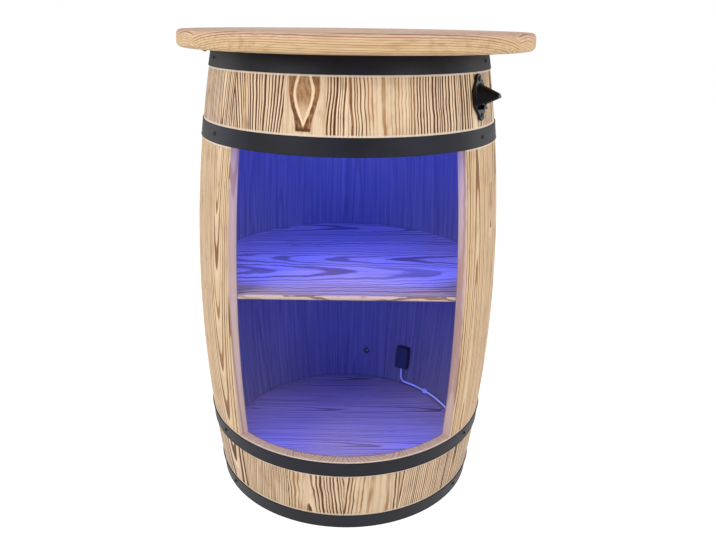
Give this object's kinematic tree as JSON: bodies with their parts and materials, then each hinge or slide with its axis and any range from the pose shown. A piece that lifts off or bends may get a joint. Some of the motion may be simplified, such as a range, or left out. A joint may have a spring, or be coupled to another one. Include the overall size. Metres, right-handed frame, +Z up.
{
  "type": "barrel bar cabinet",
  "caption": "Barrel-shaped bar cabinet with bowed staves, steel hoops, a tall front opening with a shelf, a round overhanging top and a wall bottle opener.",
  "frame": {"origin": "on the floor, on the barrel's axis", "axes": "+Z up along the barrel's axis; the opening faces -Y; +X is to the right of someone who looks into the opening"},
  "size_m": [0.6, 0.6, 0.81],
  "materials": {
    "barrel_wood": "brushed, torched and oiled spruce",
    "tabletop_wood": "brushed and oiled spruce",
    "shelf_wood": "oiled softwood",
    "batten_wood": "planed softwood",
    "hoop_steel": "satin black",
    "black_fasteners": "black oxide",
    "zinc_steel": "zinc-plated",
    "opener_iron": "gloss black enamel",
    "strip_tape": "white tape",
    "lamp": "lit blue-violet lamp",
    "clear_plastic": "milky",
    "dark_plastic": "fine grain",
    "lead_sheath": "smooth",
    "grommet_rubber": "matt"
  },
  "bodies": {
    "root": {"stave_01": "barrel_wood", "stave_02": "barrel_wood", "stave_03": "barrel_wood", "stave_04": "barrel_wood", "stave_05": "barrel_wood", "stave_06": "barrel_wood", "stave_07": "barrel_wood", "stave_08": "barrel_wood", "stave_09": "barrel_wood", "stave_10": "barrel_wood", "stave_11": "barrel_wood", "stave_12": "barrel_wood", "stave_upper_1": "barrel_wood", "stave_lower_1": "barrel_wood", "stave_upper_2": "barrel_wood", "stave_lower_2": "barrel_wood", "stave_upper_3": "barrel_wood", "stave_lower_3": "barrel_wood", "stave_upper_4": "barrel_wood", "stave_lower_4": "barrel_wood", "hoop_head": "hoop_steel", "hoop_upper_bilge": "hoop_steel", "hoop_lower_bilge": "hoop_steel", "hoop_foot": "hoop_steel", "hoop_rivets": "black_fasteners", "hoop_screws": "black_fasteners", "head_board_1": "barrel_wood", "floor_board_1": "barrel_wood", "head_board_2": "barrel_wood", "floor_board_2": "barrel_wood", "head_board_3": "barrel_wood", "floor_board_3": "barrel_wood", "head_board_4": "barrel_wood", "floor_board_4": "barrel_wood", "shelf_board_front": "shelf_wood", "shelf_board_middle": "shelf_wood", "shelf_board_rear": "shelf_wood", "shelf_cleat_left": "batten_wood", "shelf_cleat_right": "batten_wood", "shelf_cleat_rear": "batten_wood", "wood_screws": "zinc_steel", "tabletop_board_1": "tabletop_wood", "tabletop_board_2": "tabletop_wood", "tabletop_board_3": "tabletop_wood", "tabletop_board_4": "tabletop_wood", "tabletop_board_5": "tabletop_wood", "tabletop_batten_left": "batten_wood", "tabletop_batten_right": "batten_wood", "bottle_opener": "opener_iron", "opener_screws": "black_fasteners", "towel_hook": "zinc_steel", "led_strip_left": "strip_tape", "led_strip_top": "strip_tape", "led_strip_right": "strip_tape", "led_chips": "lamp", "led_corner_connectors": "clear_plastic", "led_controller": "dark_plastic", "led_lead": "lead_sheath", "lead_clips": "clear_plastic", "cable_grommet": "grommet_rubber"}
  },
  "joints": []
}
